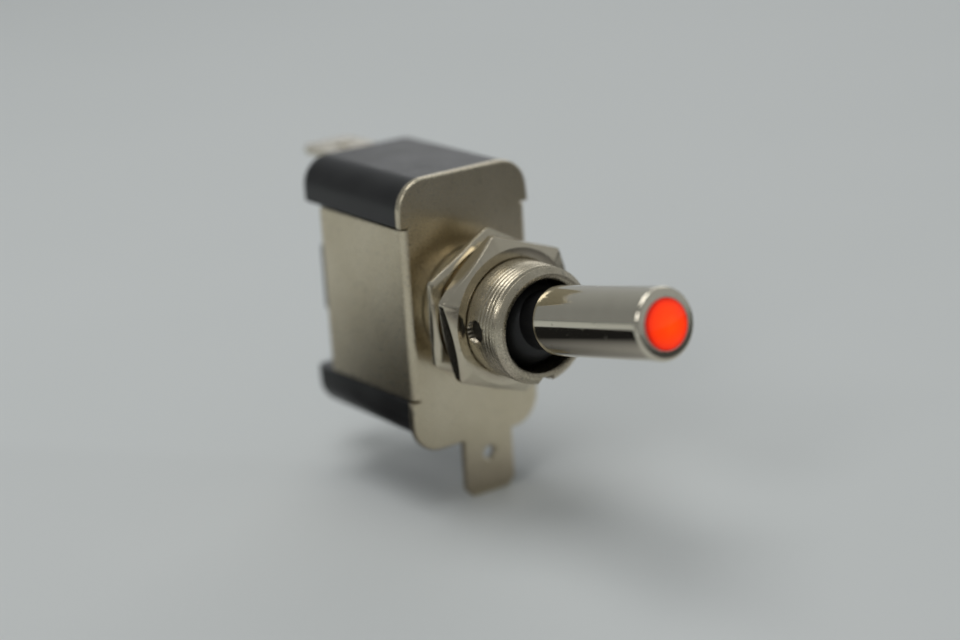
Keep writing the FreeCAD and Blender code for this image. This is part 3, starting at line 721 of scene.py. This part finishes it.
def build_nuts():
    """The two nuts, each at its own turn and place on the bushing."""
    for body, name, turn, span in zip(("rear_nut", "front_nut"), ("nut_rear", "nut_front"),
                                      NUT_TURNS, NUT_SPANS):
        place_piece(make_nut(name, turn, span), body, body, NUT_METAL)


def build_lever():
    """The lever's sleeve, lens and core, and the plunger's spring."""
    place_piece(make_sleeve(), "lever", "lever_sleeve", CHROME)
    place_piece(make_lens(), "lever", "led_lens", LENS)
    place_piece(make_core(), "lever", "lever_core", CORE_PLASTIC)
    spring = make_spring()
    place_piece(spring, "lever", "plunger_spring", STEEL)
    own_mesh(spring)


def paint_nodes():
    """Materials for the CAD nodes that stay."""
    for node, material in NODE_MATERIALS.items():
        data = frame["nodes"][node].data
        data.materials.clear()
        data.materials.append(material)


# ---- floor, light and camera --------------------------------------------------------------

FLOOR_HALF_W = 3.0                              # metres
FLOOR_TONES = ((0.70, 0.73, 0.72, 1), (0.74, 0.765, 0.757, 1))

# Each card is a painted reflection: a sheet lying on the floor that only reflections show, dark
# where the switch's polished parts should mirror shaded floor and dark things round it.
# Millimetres: its middle, its width and length, where its length points in degrees from +Y towards
# +X, its far and near brightness, and the share of its length over which the near one fades.
PAINTED_REFLECTION_CARDS = [("painted_reflection_left", (-36, 19.5), (48, 98), -38, 0.02, 0.70, 0.32),
         ("painted_reflection_front", (215, -306), (700, 640), 145, 0.14, 0.60, 0.10)]
CARD_RISE = 0.4                                 # millimetres above the floor

# Each light is a rectangle that faces the switch: place and size in metres, and power in watts.
LIGHTS = [("ceiling", (-0.1, 0.1, 0.7), (0.6, 0.4), 1.93),
          ("window", (-0.7, -0.3, 0.5), (0.22, 0.30), 1.1),
          ("back_fill", (0.55, 0.48, 0.42), (0.5, 0.4), 0.7)]

ROOM_COLOUR = (0.94, 0.98, 1.0, 1)
ROOM_STRENGTH = 0.20
# In reflections the strength follows the direction's X: its range, and the strengths there.
ROOM_REFLECTED = {"From Min": -0.4, "From Max": 0.5, "To Min": 0.24, "To Max": 0.38}

CAMERA_PLACE = Vector((-121.46, -172.35, 63.34)) * MM
CAMERA_ANGLES = (-35.41, 17.23, -3.57)          # azimuth, elevation and roll, in degrees
CAMERA_LENS = 80.06                             # millimetres, on a 36 mm sensor
CAMERA_FSTOP = 9.5
FOCUS = 8.5                                     # millimetres along the lever


def make_floor():
    """Pale paper under the switch."""
    low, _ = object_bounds()
    mesh = bmesh.new()
    bmesh.ops.create_grid(mesh, x_segments=2, y_segments=2, size=FLOOR_HALF_W,
                          matrix=Matrix.Translation((0, 0, low.z)))
    floor = finish_mesh(mesh, "floor")
    sh = Shader("paper")
    fibres = sh.noise(0.6, detail=5)
    sh.set(Base_Color=sh.mix(sh.noise(60), *FLOOR_TONES),
           Roughness=0.8, Normal=sh.bump(fibres, 0.02))
    floor.data.materials.append(sh.material)
    floor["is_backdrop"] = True


def area_light(name, place, size, power):
    """Rectangular light that faces the origin."""
    data = bpy.data.lights.new(name, "AREA")
    data.shape = "RECTANGLE"
    data.size, data.size_y = size
    data.energy = power
    light = bpy.data.objects.new(name, data)
    light.location = place
    light.rotation_euler = (-Vector(place)).to_track_quat("-Z", "Y").to_euler()
    bpy.context.scene.collection.objects.link(light)


def make_camera():
    """The photographer's view: from the left front and a little above, rolled slightly."""
    azimuth, elevation, roll = [math.radians(angle) for angle in CAMERA_ANGLES]
    ahead = Vector((-math.sin(azimuth) * math.cos(elevation),
                    math.cos(azimuth) * math.cos(elevation), -math.sin(elevation)))
    level = ahead.cross(Vector((0, 0, 1))).normalized()
    up = level.cross(ahead)
    right = level * math.cos(roll) + up * math.sin(roll)
    up = right.cross(ahead)
    data = bpy.data.cameras.new("camera")
    data.sensor_width = 36
    data.lens = CAMERA_LENS
    data.clip_start, data.clip_end = 0.01, 20
    camera = bpy.data.objects.new("camera", data)
    turn = Matrix((right, up, -ahead)).transposed().to_4x4()
    camera.matrix_world = Matrix.Translation(CAMERA_PLACE) @ turn
    data.dof.use_dof = True
    focus = bpy.data.objects.new("focus_point", None)
    focus.location = LEVER_FRAME @ Vector((0, 0, FOCUS))
    bpy.context.scene.collection.objects.link(focus)
    focus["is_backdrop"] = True
    data.dof.focus_object = focus
    data.dof.aperture_fstop = CAMERA_FSTOP
    bpy.context.scene.collection.objects.link(camera)
    bpy.context.scene.camera = camera


def make_world():
    """Soft room light. Mirror-like surfaces see a dimmer room, lighter on its right."""
    world = bpy.data.worlds.new("room")
    bpy.context.scene.world = world
    world.use_nodes = True
    tree = world.node_tree
    back = tree.nodes["Background"]
    back.inputs["Color"].default_value = ROOM_COLOUR
    direction = tree.nodes.new("ShaderNodeTexCoord").outputs["Generated"]
    split = tree.nodes.new("ShaderNodeSeparateXYZ")
    tree.links.new(direction, split.inputs["Vector"])
    across = tree.nodes.new("ShaderNodeMapRange")
    tree.links.new(split.outputs["X"], across.inputs["Value"])
    for name, value in ROOM_REFLECTED.items():
        across.inputs[name].default_value = value
    reflected = tree.nodes.new("ShaderNodeLightPath").outputs["Is Glossy Ray"]
    choose = tree.nodes.new("ShaderNodeMix")
    tree.links.new(reflected, choose.inputs["Factor"])
    choose.inputs["A"].default_value = ROOM_STRENGTH
    tree.links.new(across.outputs["Result"], choose.inputs["B"])
    tree.links.new(choose.outputs["Result"], back.inputs["Strength"])


def painted_reflection_card(name, centre, size, heading, dark, light, fade):
    """Painted reflection: a sheet lying on the floor that only reflections show, light at its near
    end and dark beyond, standing for shade and dark things round the switch. Its mesh is 1 mm
    square, and the object's scale gives it its size."""
    low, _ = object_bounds()
    mesh = bmesh.new()
    bmesh.ops.create_grid(mesh, x_segments=6, y_segments=6, size=0.5 * MM)
    card = finish_mesh(mesh, name)
    card.scale = (size[0], size[1], 1)
    card.rotation_euler = (0, 0, -math.radians(heading))
    card.location = (centre[0] * MM, centre[1] * MM, low.z + CARD_RISE * MM)
    sh = Shader(name)
    split = sh.node("ShaderNodeSeparateXYZ")
    sh.link(sh.place, split.inputs["Vector"])
    along = sh.ramp(split.outputs["Y"], -0.5 * MM, (fade - 0.5) * MM)
    # Painted reflection colour: light near the start, dark beyond the fade.
    sh.set(Base_Color=sh.mix(along, grey(light), grey(dark)), Roughness=0.9,
           Specular_IOR_Level=0.0)
    card.data.materials.append(sh.material)
    card.visible_camera = card.visible_diffuse = False
    card.visible_shadow = card.visible_transmission = False
    card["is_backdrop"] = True


build_body()
build_nuts()
build_lever()
paint_nodes()
make_floor()
make_world()
# Painted reflections: dark sheets on the floor that only mirror-like surfaces see.
for card in PAINTED_REFLECTION_CARDS:
    painted_reflection_card(*card)
for light in LIGHTS:
    area_light(*light)
make_camera()
bpy.context.scene.view_settings.view_transform = "Standard"
